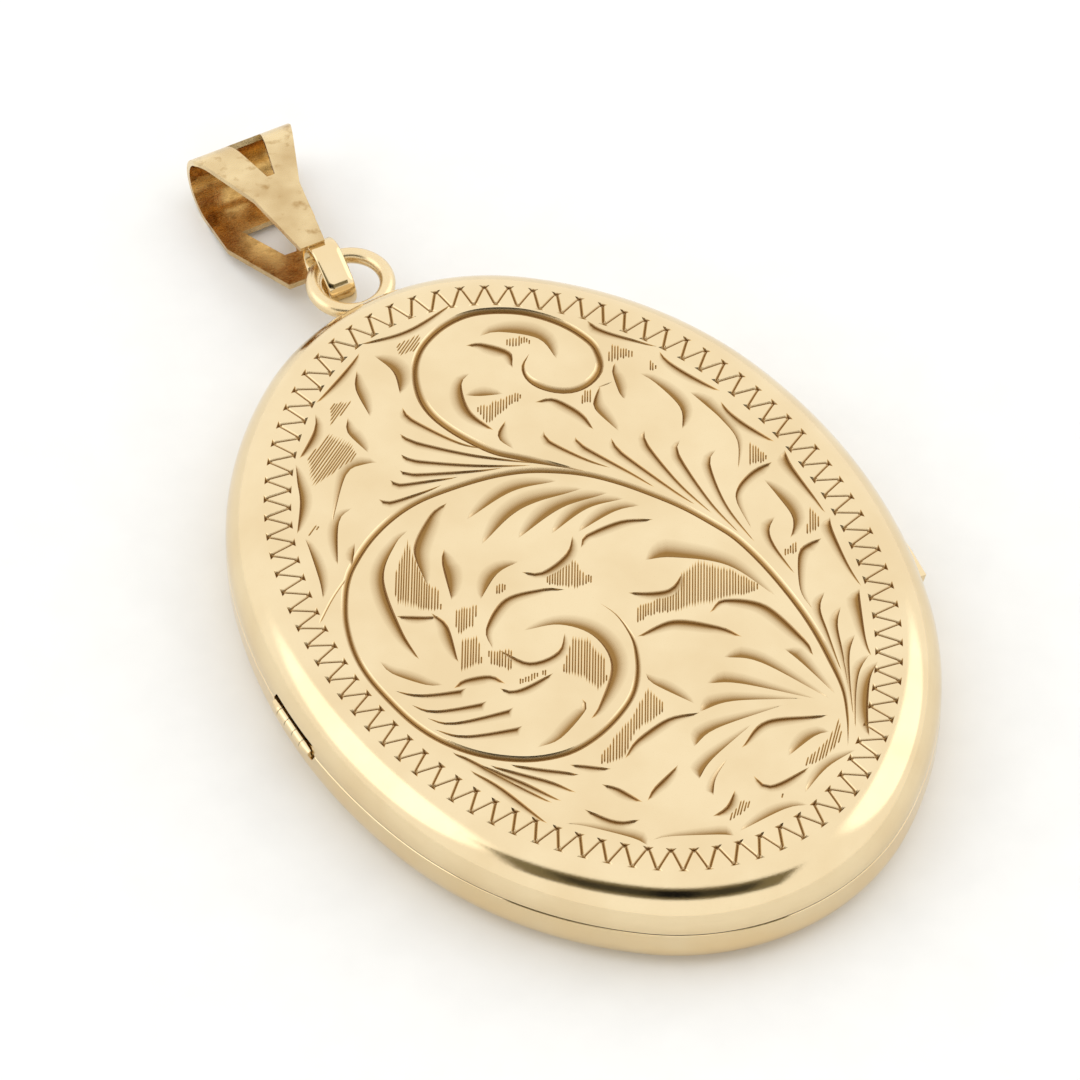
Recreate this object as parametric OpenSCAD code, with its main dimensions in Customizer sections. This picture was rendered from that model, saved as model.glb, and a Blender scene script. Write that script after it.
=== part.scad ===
// Oval locket with a side hinge, a thumb piece and a folded ribbon bail.
// The closed case lies on its back. Z is up out of the front cover, Y runs
// along the case towards the bail, and the hinge is on the -X side.
// The origin is the centre of the flat underside.

/* [Case] */
// Length of the oval case, without the ring and bail
case_length = 40; // [38:0.5:42]
// Width of the oval case
case_width = 29.6; // [28:0.2:31]
// Height of the cover above the joint plane
cover_height = 2.35; // [2.3:0.05:2.6]
// Radius of the cover's rounded shoulder
cover_shoulder = 2.2; // [2:0.05:2.25]
// Depth of the back below the joint plane
back_depth = 2.4; // [2.35:0.05:2.6]
// Radius of the back's tighter shoulder
back_shoulder = 1.4; // [1.2:0.05:1.6]
// Thickness of the gold sheet of the two shells
sheet = 0.35; // [0.3:0.01:0.38]
// Width of the fine joint line between the closed shells
joint_gap = 0.06; // [0.04:0.01:0.08]

/* [Hinge] */
// Distance of the hinge axis inside the case's edge
hinge_inset = 0.04; // [0.02:0.01:0.06]
// Largest radius of the knuckle barrel
barrel_r = 0.3; // [0.28:0.01:0.32]
// Radius of the barrel at its tapered ends
barrel_tip_r = 0.2; // [0.18:0.01:0.22]
// Length of the taper at each end of the barrel
barrel_taper = 0.5; // [0.3:0.05:0.6]
// Length of the whole barrel
barrel_length = 3.4; // [3:0.1:3.6]
// Gap between neighbouring knuckles
knuckle_gap = 0.03; // [0.02:0.01:0.05]
// Radius of the hinge pin
pin_r = 0.12; // [0.1:0.01:0.13]
// Radial clearance of the two front knuckles on the pin
pin_clearance = 0.02; // [0.01:0.01:0.03]
// Clearance of the channels in the shells around the barrel
channel_clearance = 0.04; // [0.03:0.01:0.06]

/* [Thumb piece] */
// How far the middle of the thumb piece stands out of the case's edge
thumb_proud = 0.2; // [0.15:0.01:0.3]
// Radius of its outer edge, flatter than the case
thumb_arc_r = 56; // [50:1:70]
// Half of its length
thumb_half_length = 5.9; // [5:0.1:7]
// Depth of its top face below the joint plane
thumb_drop = 0.45; // [0.4:0.01:0.6]
// Height of its outer lip
thumb_height = 0.5; // [0.4:0.05:0.55]
// How far its sloping outer face draws in at the bottom
thumb_draw = 0.15; // [0.1:0.01:0.2]

/* [Inner rims and photo frames] */
// Gap between the rim wall and the back bezel where it enters the cover
bezel_inset = 0.45; // [0.44:0.01:0.48]
// Height of the back bezel above the joint plane
bezel_rise = 0.55; // [0.5:0.01:0.58]
// Inset of the bezel's inner wall
bezel_bore_inset = 0.75; // [0.72:0.01:0.78]
// Distance from the joint plane to the cover's seat rim
seat_start = 0.62; // [0.62:0.01:0.66]
// Inset of the seat rim's inner wall
seat_bore_inset = 0.85; // [0.82:0.01:0.88]
// Width of the flat flange of a photo frame
flange_width = 1.15; // [1:0.05:1.3]
// Thickness of a photo frame's metal
frame_sheet = 0.2; // [0.18:0.01:0.22]
// Thickness of the clear window
window_thickness = 0.18; // [0.15:0.01:0.2]
// Thickness of the blank picture card
card_thickness = 0.1; // [0.08:0.01:0.12]

/* [Jump ring] */
// Radius of the ring's wire
ring_wire_r = 0.375; // [0.35:0.005:0.4]
// Radius of the ring to the middle of its wire
ring_r = 1.73; // [1.7:0.01:1.76]
// Distance of the ring's middle from the end of the case
ring_distance = 2.05; // [2.02:0.01:2.08]

/* [Bail] */
// How far round the jump ring the bail has slid, towards the hinge side
ring_slide = 15; // [0:1:15]
// Turn of the bail away from straight outwards
bail_yaw = -2; // [-4:1:4]
// Thickness of the bail's ribbon
ribbon = 0.28; // [0.24:0.01:0.32]
// Outer radius of the small loop round the jump ring
loop_r = 1.1; // [1.08:0.01:1.15]
// Thickness of the small loop's band
loop_band = 0.25; // [0.22:0.01:0.25]
// Width of the small loop
loop_width = 1.36; // [1.2:0.02:1.4]
// Length of the small loop's straight stretch
loop_stretch = 1.1; // [0.9:0.05:1.15]
// Downward slope of the small loop
loop_slope = 30; // [10:1:40]
// Outer radius of the bail's big bend
bend_r = 1.75; // [1.6:0.01:1.85]
// Distance from the jump ring's wire to the middle of the big bend
bend_reach = 7; // [6:0.05:7.5]
// Width of the ribbon at the big bend
bend_width = 5.1; // [4.6:0.1:5.4]
// Width of the upper leaf where it meets the small loop
neck_width = 1.24; // [1.2:0.02:1.3]
// Width of the upper leaf at its waist
upper_waist = 2.4; // [2:0.1:3]
// Width of the lower leaf where it meets the small loop
lower_neck = 1.8; // [1.4:0.1:2]

/* [Hidden] */
$fn = 96;
large_arc_fn = 360;

// The oval is close to an ellipse. Each quarter has a side, a corner and an end
// arc, which join where their shared radii slope 7 in 24 and 4 in 3.
half_length = case_length / 2;
half_width = case_width / 2;
side_way = [0.96, 0.28];
corner_way = [0.6, 0.8];
wedge_reach = 40;
side_step = 1.6 * (half_length - half_width);
corner_step = 1.54 * (half_length - half_width);
end_r = half_width - 0.04 * side_step - 0.4 * corner_step;
corner_r = end_r + corner_step;
side_r = corner_r + side_step;
side_centre = [half_width - side_r, 0];
corner_centre = side_centre + side_step * side_way;
end_centre = [0, half_length - end_r];

joint_z = back_depth;
hinge_x = half_width - hinge_inset;
ring_y = half_length + ring_distance;
cut_slack = 0.5;
// How far two stretches of one pressed piece run into each other.
lap = 0.1;

// The photo frames and the ledges under the cards.
frame_rise = 0.45;
frame_depth = window_thickness - frame_rise + frame_sheet;
bezel_depth = 1.2;
ledge_width = 0.7;
front_card_top = seat_start + frame_sheet + window_thickness + card_thickness;

// The back holds both end knuckles, so their number is odd.
knuckles = 5;
knuckle_pitch = (barrel_length + knuckle_gap) / knuckles;
thumb_half_angle = asin(thumb_half_length / thumb_arc_r);
thumb_reach = half_width + thumb_proud;
thumb_root = 1.6;

seat_reach = 0.1;
seat_drop = 0.55;
seat_r = 0.55;

// Centres in the bail's own YZ plane, and the turns where the leaves meet the bend.
loop_turn = 180 + loop_slope;
loop_far = loop_stretch * [cos(loop_turn), sin(loop_turn)];
bend_centre = [bend_reach, bend_r - back_depth];
lap_r = loop_r + ribbon / 2;
lap_start = 0.3;
neck_shift = -0.45;
waist_reach = 0.6 * bend_reach;
lower_waist = 0.9 * bend_width;
lower_skew = -0.35;
opening_skew = 0.2;
// The opening in the upper leaf ends at the crest of the bend. It has a half
// width at its point and one far beyond its end.
opening_start = bend_reach - 1.8;
opening_end_z = 0.4;
opening_tip_half = 0.2;
opening_end_half = 1.4;
// The round hole low on the outer side of the bend.
far_hole_r = 0.65;
far_hole_x = -0.8;
far_hole_z = -1.3;
// The opening in the lower leaf: half widths at its two ends.
lower_opening_start = 2.4;
lower_opening_end = 5;
lower_opening_tip_half = 0.3;
lower_opening_end_half = 1.3;
upper_turn = tangent_turn([0, 0], bend_centre, lap_r, bend_r, 1);
lower_turn = tangent_turn([0, 0], bend_centre, lap_r, bend_r, -1);

gold = [0.86, 0.74, 0.5];
inner_gold = [0.8, 0.66, 0.4];
solder = [0.72, 0.6, 0.38];
clear = [0.85, 0.92, 0.95, 0.35];
card = [0.93, 0.9, 0.82];

// The wedge of one arc, between two directions from its centre.
module wedge(centre, from, to) polygon([centre, centre + wedge_reach * from, centre + wedge_reach * to]);

// The oval's outline, standing in from the rim.
module oval_outline(inset) mirror_quarters() {
  arc_sector(side_centre, side_r - inset, [1, 0], side_way);
  arc_sector(corner_centre, corner_r - inset, side_way, corner_way);
  arc_sector(end_centre, end_r - inset, corner_way, [0, 1]);
}

module arc_sector(centre, r, from, to) intersection() {
  translate(centre) circle(r, $fn = large_arc_fn);
  wedge(centre, from, to);
}

// A flat plate with that outline.
module oval_plate(inset, from, to) translate([0, 0, from]) linear_extrude(to - from) oval_outline(inset);

// Sweeps a section round the rim. The section's x is measured outwards from
// the rim and its y is the height.
module round_the_oval() mirror_quarters() {
  arc_sweep(side_centre, side_r, [1, 0], side_way) children();
  arc_sweep(corner_centre, corner_r, side_way, corner_way) children();
  arc_sweep(end_centre, end_r, corner_way, [0, 1]) children();
}

module arc_sweep(centre, r, from, to) intersection() {
  translate([centre.x, centre.y, 0]) rotate_extrude($fn = large_arc_fn) translate([r, 0]) children();
  linear_extrude(wedge_reach, center = true) wedge(centre, from, to);
}

module mirror_quarters() for (flip_x = [0, 1], flip_y = [0, 1])
  mirror([flip_x, 0, 0]) mirror([0, flip_y, 0]) children();

// The form that a shell is pressed on, opening downwards.
module pan(height, shoulder, inset, from) difference() {
  oval_plate(inset, from, height - inset);
  round_the_oval() difference() {
    translate([-shoulder, height - shoulder]) square(shoulder + cut_slack);
    translate([-shoulder, height - shoulder]) circle(shoulder - inset);
  }
}

module cover_form(inset = 0, from = 0) pan(cover_height, cover_shoulder, inset, from);
module back_form(inset = 0, from = 0) pan(back_depth, back_shoulder, inset, from);

// Places a piece drawn upwards from the joint plane in the cover or the back.
module in_cover() translate([0, 0, joint_z]) children();
module in_back() translate([0, 0, joint_z]) mirror([0, 0, 1]) children();

module hinge_axis() translate([-hinge_x, 0, joint_z]) rotate([-90, 0, 0]) children();

// The space that clears the barrel, or only a stretch of it.
module hinge_channel(from = -barrel_length / 2, to = barrel_length / 2) {
  hinge_axis() translate([0, 0, from - channel_clearance])
    cylinder(r = barrel_r + channel_clearance, h = to - from + 2 * channel_clearance);
}

// A shell fits its own knuckles closely and clears the others.
module hinge_recess(own_side) {
  hinge_axis() cylinder(r = barrel_r, h = barrel_length, center = true);
  for (index = [1 - own_side : 2 : knuckles - 1]) hinge_channel(knuckle_start(index), knuckle_end(index));
}

// Half of the joint line is taken off the rim of each shell.
module back_shell() color(gold) difference() {
  in_back() difference() { back_form(0, joint_gap / 2); back_form(sheet, -cut_slack); }
  hinge_recess(0);
}

module front_shell() color(gold) difference() {
  in_cover() difference() { cover_form(0, joint_gap / 2); cover_form(sheet, -cut_slack); }
  hinge_recess(1);
}

// The back's bezel is soldered inside the back and enters the cover.
// It carries a narrow ledge for the picture card.
module back_bezel() color(inner_gold) {
  card_seat = frame_depth + card_thickness;
  difference() {
    union() {
      in_back() intersection() {
        back_form(sheet);
        union() {
          oval_band(0, bezel_bore_inset, joint_gap / 2, bezel_depth);
          oval_band(bezel_bore_inset - lap, bezel_bore_inset + ledge_width, card_seat, card_seat + frame_sheet);
        }
      }
      in_cover() oval_band(bezel_inset, bezel_bore_inset, -lap, bezel_rise);
    }
    hinge_channel();
  }
}

// The cover's seat rim stands above the bezel and holds the front frame.
module front_seat_rim() color(inner_gold) in_cover() {
  card_seat = seat_start + frame_sheet + window_thickness + card_thickness;
  intersection() {
    cover_form(sheet);
    union() {
      oval_band(0, seat_bore_inset, seat_start, card_seat + frame_sheet);
      oval_band(seat_bore_inset - lap, seat_bore_inset + ledge_width, card_seat, card_seat + frame_sheet);
    }
  }
}

// A band between two insets from the rim.
module oval_band(outer_inset, inner_inset, from, to) difference() {
  oval_plate(outer_inset, from, to);
  oval_plate(inner_inset, from - cut_slack, to + cut_slack);
}

// A pressed frame: a flat flange on a short skirt.
module photo_frame(bore_inset, face, skirt) difference() {
  oval_plate(bore_inset, face, face + frame_sheet + skirt);
  oval_plate(bore_inset + frame_sheet, face + frame_sheet, face + frame_sheet + skirt + cut_slack);
  oval_plate(bore_inset + flange_width, face - cut_slack, face + frame_sheet + cut_slack);
}

module back_photo_frame() color(gold) in_back()
  photo_frame(bezel_bore_inset, -frame_rise, frame_depth + frame_rise - frame_sheet + card_thickness);
module front_photo_frame() color(gold) in_cover()
  photo_frame(seat_bore_inset, seat_start, window_thickness + card_thickness);

module back_window() color(clear) in_back()
  oval_plate(bezel_bore_inset + frame_sheet, frame_depth - window_thickness, frame_depth);
module front_window() color(clear) in_cover()
  oval_plate(seat_bore_inset + frame_sheet, seat_start + frame_sheet, seat_start + frame_sheet + window_thickness);

module back_picture_card() color(card) in_back()
  oval_plate(bezel_bore_inset + frame_sheet, frame_depth, frame_depth + card_thickness);
module front_picture_card() color(card) in_cover()
  oval_plate(seat_bore_inset + frame_sheet, front_card_top - card_thickness, front_card_top);

module barrel_form() {
  cylinder(r = barrel_r, h = barrel_length - 2 * barrel_taper, center = true);
  for (flip = [0, 1]) mirror([0, 0, flip]) translate([0, 0, barrel_length / 2 - barrel_taper])
    cylinder(r1 = barrel_r, r2 = barrel_tip_r, h = barrel_taper);
}

// The knuckles are counted from the -Y end. The back holds the even ones.
function knuckle_start(index) = -barrel_length / 2 + index * knuckle_pitch;
function knuckle_end(index) = knuckle_start(index) + knuckle_pitch - knuckle_gap;

module knuckle(index) color(gold) hinge_axis() difference() {
  intersection() {
    barrel_form();
    translate([0, 0, knuckle_start(index)])
      cylinder(r = 2 * barrel_r, h = knuckle_pitch - knuckle_gap);
  }
  cylinder(r = index % 2 == 0 ? pin_r : pin_r + pin_clearance, h = 2 * barrel_length, center = true);
}

module hinge_pin() color(gold) hinge_axis() cylinder(r = pin_r, h = barrel_length - knuckle_gap, center = true);

// A lip soldered under the rim of the back, flatter than the oval, so that it
// stands out most at its two square-cut ends.
module thumb_piece() color(gold) difference() {
  translate([thumb_reach - thumb_arc_r, 0, joint_z - thumb_drop - thumb_height])
    rotate(-thumb_half_angle) rotate_extrude(angle = 2 * thumb_half_angle, $fn = large_arc_fn)
      polygon([
        [thumb_arc_r - thumb_root, 0],
        [thumb_arc_r - thumb_draw, 0],
        [thumb_arc_r, thumb_height],
        [thumb_arc_r - thumb_root, thumb_height]
      ]);
  in_back() back_form();
}

// A round ring lying in the joint plane, seated on the top edge of the back.
module jump_ring() color(gold) difference() {
  ring_form();
  in_back() back_form();
  in_cover() rim_clearance();
}

// Room for the cover's edge to lift past the ring.
module rim_clearance() oval_plate(-joint_gap, -joint_gap / 2, cover_height);

module ring_form() translate([0, ring_y, joint_z]) rotate_extrude() translate([ring_r, 0]) circle(ring_wire_r);

// The solder that fills the corner between the ring and the back.
module ring_seat() color(solder) difference() {
  translate([0, half_length + seat_reach, joint_z - seat_drop])
    cylinder(r = seat_r, h = seat_drop - joint_gap / 2);
  in_back() back_form();
  ring_form();
}

// The bail is drawn with its swing axis along X through the origin, lying
// outwards along +Y, and then turned round the jump ring.
module in_bail() translate([0, ring_y, joint_z]) rotate(ring_slide) translate([0, ring_r, 0])
  rotate(bail_yaw - ring_slide) children();

// Extrudes a shape of the YZ plane symmetrically along X.
module across(width) rotate([90, 0, 90]) linear_extrude(width, center = true) children();

function tangent_turn(from, to, r_from, r_to, side) =
  atan2(to.y - from.y, to.x - from.x) + side * acos((r_from - r_to) / norm(to - from));
function on_circle(centre, r, angle) = centre + r * [cos(angle), sin(angle)];

// The small loop: a closed band with two round ends and straight sides.
module loop_solid(r, width) {
  across(width) circle(r);
  across(width) translate(loop_far) circle(r);
  across(width) polygon([
    on_circle([0, 0], r, loop_turn + 90), on_circle(loop_far, r, loop_turn + 90),
    on_circle(loop_far, r, loop_turn - 90), on_circle([0, 0], r, loop_turn - 90)
  ]);
}

module bail_loop() color(gold) in_bail() difference() {
  loop_solid(loop_r, loop_width);
  loop_solid(loop_r - loop_band, 2 * loop_width);
}

// The bent ribbon's side view, filled in: the bend and the lap round the loop,
// joined by their common tangents.
module bend_solid(shrink, width) {
  across(width) circle(lap_r - shrink);
  across(width) translate(bend_centre) circle(bend_r - shrink);
  across(width) polygon([
    on_circle([0, 0], lap_r - shrink, upper_turn), on_circle(bend_centre, bend_r - shrink, upper_turn),
    on_circle(bend_centre, bend_r - shrink, lower_turn), on_circle([0, 0], lap_r - shrink, lower_turn)
  ]);
}

// The outline of a leaf seen from above: narrow at the loop, wide at the bend.
module leaf_outline(start_width, waist_width, skew) translate([neck_shift, 0]) for (side = [-1, 1]) polygon([
  [skew, lap_start], [skew + side * start_width / 2, lap_start],
  [skew + side * waist_width / 2, waist_reach], [side * bend_width / 2, bend_reach + bend_r / 2],
  [side * bend_width / 2, bend_reach + 2 * bend_r], [0, bend_reach + 2 * bend_r]
]);

// The upper leaf has a slim waist. The lower leaf tapers evenly.
module bail_body() color(gold) in_bail() difference() {
  intersection() {
    bend_solid(0, 4 * bend_width);
    union() {
      translate([0, 0, bend_centre.y]) linear_extrude(4 * bend_r) leaf_outline(neck_width, upper_waist, 0);
      translate([0, 0, bend_centre.y - 4 * bend_r]) linear_extrude(4 * bend_r)
        leaf_outline(lower_neck, lower_waist, lower_skew);
    }
  }
  bend_solid(ribbon, 8 * bend_width);
  loop_solid(loop_r, 4 * bend_width);
  upper_opening();
  far_hole();
  lower_opening();
}

// A tapering opening with its point in the upper leaf and its base at the bend.
module upper_opening() translate([neck_shift + opening_skew, 0, opening_end_z]) linear_extrude(4 * bend_r)
  taper(opening_start, opening_tip_half, bend_reach + 2 * bend_r, opening_end_half);

module far_hole() translate([far_hole_x, bend_reach, far_hole_z]) rotate([-90, 0, 0])
  cylinder(r = far_hole_r, h = 2 * bend_r);

// An opening in the lower leaf, tapering towards the loop.
module lower_opening() translate([neck_shift - opening_skew, 0, -4 * bend_r]) linear_extrude(4 * bend_r)
  taper(lower_opening_start, lower_opening_tip_half, lower_opening_end, lower_opening_end_half);

// A symmetrical outline between two places along Y, with a half width at each.
module taper(from, from_half, to, to_half)
  polygon([[-from_half, from], [from_half, from], [to_half, to], [-to_half, to]]);

back_shell();
front_shell();
back_bezel();
front_seat_rim();
knuckle(0);  // hinge_knuckle_1
knuckle(1);  // hinge_knuckle_2
knuckle(2);  // hinge_knuckle_3
knuckle(3);  // hinge_knuckle_4
knuckle(4);  // hinge_knuckle_5
hinge_pin();
thumb_piece();
back_photo_frame();
front_photo_frame();
back_window();
front_window();
back_picture_card();
front_picture_card();
jump_ring();
ring_seat();
bail_loop();
bail_body();
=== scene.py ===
import math
import random

import bmesh
import bpy
import numpy as np
from mathutils import Matrix, Vector
from mathutils.geometry import delaunay_2d_cdt


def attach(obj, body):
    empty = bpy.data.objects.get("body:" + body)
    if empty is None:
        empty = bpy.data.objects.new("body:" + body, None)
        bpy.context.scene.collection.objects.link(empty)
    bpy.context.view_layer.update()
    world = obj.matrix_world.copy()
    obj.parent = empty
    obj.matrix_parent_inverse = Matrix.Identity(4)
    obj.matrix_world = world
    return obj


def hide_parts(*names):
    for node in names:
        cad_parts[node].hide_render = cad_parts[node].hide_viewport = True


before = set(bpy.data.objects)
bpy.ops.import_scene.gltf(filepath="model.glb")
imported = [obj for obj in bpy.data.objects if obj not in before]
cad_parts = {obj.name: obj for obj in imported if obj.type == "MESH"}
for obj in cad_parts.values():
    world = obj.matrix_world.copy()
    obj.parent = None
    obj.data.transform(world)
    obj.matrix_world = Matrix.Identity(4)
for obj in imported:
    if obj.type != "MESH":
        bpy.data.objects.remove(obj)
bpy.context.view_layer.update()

# Lengths below are in millimetres, and become metres where a mesh is made.
MM = 0.001
HALF_LENGTH = 20
HALF_WIDTH = 14.8
JOINT_Z = 2.4
HALF_GAP = 0.03
COVER_HEIGHT = 2.35
COVER_SHOULDER = 2.2
BACK_DEPTH = 2.4
BACK_SHOULDER = 1.4
SHEET = 0.35
RIM_BEVEL = 0.03
TURNS = 720
FULL_TURN = 360
TINY = 1e-4

# ---------------------------------------------------------------- the oval
# Each quarter has a side, a corner and an end arc. Their joints have the angles of a 7-24-25
# and a 3-4-5 triangle, so 0.96 and 0.28 below are the cosine and sine of SIDE_TURN, and the
# shares 0.04 and 0.4 are what the cosines of the two turns fall short of 1.
SIDE_TURN = math.degrees(math.atan2(7, 24))
CORNER_TURN = math.degrees(math.atan2(4, 3))
SIDE_FULLNESS = 1.6
CORNER_FULLNESS = 1.54
SIDE_STEP = SIDE_FULLNESS * (HALF_LENGTH - HALF_WIDTH)
CORNER_STEP = CORNER_FULLNESS * (HALF_LENGTH - HALF_WIDTH)
END_R = HALF_WIDTH - 0.04 * SIDE_STEP - 0.4 * CORNER_STEP
CORNER_R = END_R + CORNER_STEP
SIDE_R = CORNER_R + SIDE_STEP
SIDE_CENTRE = (HALF_WIDTH - SIDE_R, 0)
CORNER_CENTRE = (SIDE_CENTRE[0] + 0.96 * SIDE_STEP, 0.28 * SIDE_STEP)
END_CENTRE = (0, HALF_LENGTH - END_R)


def arc_at(turn):
    """The centre and radius of the arc of the first quarter at that turn."""
    if turn < SIDE_TURN:
        return SIDE_CENTRE, SIDE_R
    if turn < CORNER_TURN:
        return CORNER_CENTRE, CORNER_R
    return END_CENTRE, END_R


def oval_point(turn, inset):
    """A point of the oval outline, standing in from the rim. turn is the outline's outward direction."""
    c, s = math.cos(math.radians(turn)), math.sin(math.radians(turn))
    centre, r = arc_at(math.degrees(math.atan2(abs(s), abs(c))))
    x = centre[0] + (r - inset) * abs(c)
    y = centre[1] + (r - inset) * abs(s)
    return math.copysign(x, c), math.copysign(y, s)


def inset_and_way(x, y):
    """How far inside the rim a point is, and the outward direction there."""
    ax, ay = abs(x), abs(y)
    centre, r = END_CENTRE, END_R
    if math.degrees(math.atan2(ay, ax - SIDE_CENTRE[0])) < SIDE_TURN:
        centre, r = SIDE_CENTRE, SIDE_R
    elif math.degrees(math.atan2(ay - CORNER_CENTRE[1], ax - CORNER_CENTRE[0])) < CORNER_TURN:
        centre, r = CORNER_CENTRE, CORNER_R
    dx, dy = ax - centre[0], ay - centre[1]
    reach = math.hypot(dx, dy) or 1
    way = (math.copysign(dx / reach, x), math.copysign(dy / reach, y))
    return r - reach, way


def shoulder_drop(inset, r):
    """How far a rounded shoulder has fallen below the flat at that inset."""
    lean = max(0, r - inset)
    return r - math.sqrt(max(0, r * r - lean * lean))


# ------------------------------------------------------------ the engraving
# Every cut is a few facets with a depth at each corner. The face is the flat
# top less the deepest cut at each place. x runs to the thumb side and y to the
# bail, from the middle of the face.
CUT_STEP = 0.28
DEEPEST = 0.13
WIDEN = 1.45
CUT_DEPTH = 0.055
CUT_DEPTH_PER_WIDTH = 0.15
LINE_DEPTH = 0.02
LINE_DEPTH_PER_WIDTH = 0.3
# A cross-section's points: the share of the width to the left, and the share of the depth.
LEANED = [(0, 0), (0.12, 1), (0.35, 0.66), (0.65, 0.27), (1, 0)]
STEM = [(-0.5, 0), (0.08, 1), (0.5, 0)]
EVEN = [(-0.5, 0), (0, 1), (0.5, 0)]
cuts = {"points": [], "edges": [], "facets": []}


def add_cut(points, edges, facets):
    start = len(cuts["points"])
    cuts["points"] += points
    cuts["edges"] += [(start + a, start + b) for a, b in edges]
    cuts["facets"] += [tuple(points[i] for i in facet) for facet in facets]


def smooth_path(points, step):
    """Points along a Catmull-Rom curve through the given ones, about a step apart."""
    points = [Vector(p) for p in points]
    ends = [2 * points[0] - points[1]] + points + [2 * points[-1] - points[-2]]
    path = []
    for p0, p1, p2, p3 in zip(ends, ends[1:], ends[2:], ends[3:]):
        count = max(1, round((p2 - p1).length / step))
        for i in range(count):
            t = i / count
            path.append(0.5 * (2 * p1 + (p2 - p0) * t + (2 * p0 - 5 * p1 + 4 * p2 - p3) * t ** 2
                               + (3 * p1 - p0 - 3 * p2 + p3) * t ** 3))
    return path + [points[-1]]


# How full the curve of a taper is, and the share of a cut's length that its blunt end takes.
LEAF_FULLNESS = 0.7
TAPER_FULLNESS = 0.75
HEAD_ROUND = 0.16
HEAD_FULLNESS = 0.6
HEAD_TAPER = 1.15
TAIL_ROUND = 0.05
TAIL_TAPER = 1.1
LINE_ROUND = 0.08


def swell(form, u):
    """The share of its full width that a cut has at u, from its start at 0 to its end at 1."""
    if form == "leaf":
        return math.sin(math.pi * u) ** LEAF_FULLNESS
    if form == "head":
        return min(1, u / HEAD_ROUND) ** HEAD_FULLNESS * min(1, HEAD_TAPER * (1 - u)) ** TAPER_FULLNESS
    if form == "tail":
        return min(1, (1 - u) / TAIL_ROUND) * min(1, TAIL_TAPER * u) ** TAPER_FULLNESS
    return min(1, u / LINE_ROUND, (1 - u) / LINE_ROUND)


def strip(path, form, width, section, depth):
    """A cut along a path, with a cross-section of that width and depth where it is fullest."""
    rows = len(section)
    points = []
    for i, p in enumerate(path):
        ahead = path[min(i + 1, len(path) - 1)]
        behind = path[max(i - 1, 0)]
        along = (ahead - behind).normalized()
        left = Vector((-along.y, along.x))
        size = swell(form, i / (len(path) - 1))
        for across, deep in section:
            q = p + left * (across * width * size)
            points.append((q.x, q.y, deep * depth * size ** 0.5))
    edges, facets = [], []
    for i in range(len(path) - 1):
        for j in range(rows):
            a, b = i * rows + j, (i + 1) * rows + j
            edges.append((a, b))
            if j < rows - 1:
                facets += [(a, b, b + 1), (a, b + 1, a + 1)]
    add_cut(points, edges, facets)


def cut(width, form, *points):
    """A leaned cut: one crisp wall along the points and one soft slope, to the left if width is positive."""
    depth = min(DEEPEST, CUT_DEPTH + CUT_DEPTH_PER_WIDTH * abs(width))
    strip(smooth_path(points, CUT_STEP), form, WIDEN * width, LEANED, depth)


def line(width, *points):
    """An even V cut along a line."""
    depth = LINE_DEPTH_PER_WIDTH * width + LINE_DEPTH
    strip(smooth_path(points, CUT_STEP), "line", width, STEM, depth)


# The two long stems.
line(0.36, (5.4, -14.6), (6.2, -13.2), (6.9, -11.6), (7.3, -9.5), (7.5, -7.5), (7.5, -5.5), (7.35, -3.5),
     (7.05, -1.8), (6.6, -.6), (5.9, .9), (5.1, 2.2), (4.1, 3.6), (3, 4.8), (1.8, 5.7), (.5, 6.4), (-1, 6.85),
     (-2.8, 7.1), (-4.5, 7.15), (-6, 6.85), (-7.5, 6.2), (-8.8, 5.3), (-9.5, 4.6), (-10.1, 3.7), (-10.7, 2.5),
     (-11.15, 1), (-11.3, -.5), (-11.15, -2.2), (-10.8, -4), (-10.2, -5.5), (-9.3, -6.8), (-8.2, -7.8),
     (-7, -8.5), (-5.6, -8.85), (-4.2, -8.7), (-2.8, -8.2), (-1.5, -7.4), (-.6, -6.3), (0, -5), (.15, -4),
     (.1, -3), (-.2, -2.1))
line(0.42, (3, 5), (1, 7), (0, 8), (-.7, 9.2), (-1.2, 10.4), (-1.45, 11.5), (-1.4, 12.6), (-1, 13.8),
     (-.4, 14.7), (.4, 15.35), (1.5, 15.8), (2.7, 15.9), (3.8, 15.6), (5, 14.9), (5.9, 14), (6.6, 12.9),
     (7, 11.7), (6.95, 10.9), (6.7, 10.2), (6.2, 9.75), (5.5, 9.5), (4.8, 9.55), (4.2, 9.9), (3.7, 10.5),
     (3.45, 11.2), (3.6, 11.9), (4.2, 12.4))
line(0.12, (-9.5, 4.75), (-10.6, 4), (-11.8, 3))
# The chain of scallops inside the zigzag.
cut(-.3, "leaf", (-2.3, 16.7), (0, 16.45), (2.5, 16.8))
cut(.3, "leaf", (-2.6, 16.25), (-3.5, 15.75), (-5.8, 14.55))
cut(.38, "leaf", (-6.1, 14), (-6.6, 13.2), (-8, 12))
cut(.42, "leaf", (-8.3, 11.8), (-8.75, 10.8), (-9.2, 9.7), (-10.2, 8.1))
cut(.36, "leaf", (-10, 7.7), (-10.15, 7), (-10.6, 5.2), (-10.95, 4.2))
cut(-.38, "head", (7.5, 12.85), (8, 11.9), (9, 10.6), (9.55, 9.9))
cut(-.35, "leaf", (9.5, 9.6), (9.6, 8.9), (10.25, 7.3), (10.75, 6.15))
cut(-.35, "leaf", (10.45, 5.6), (10.6, 4.6), (11.4, 2.3))
cut(-.45, "head", (11.55, 1.65), (11.4, .6), (11.35, -1.6), (11.3, -2.5))
cut(-.42, "head", (11.35, -2.8), (11.1, -3.5), (10.7, -5.5), (10.55, -7))
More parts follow.
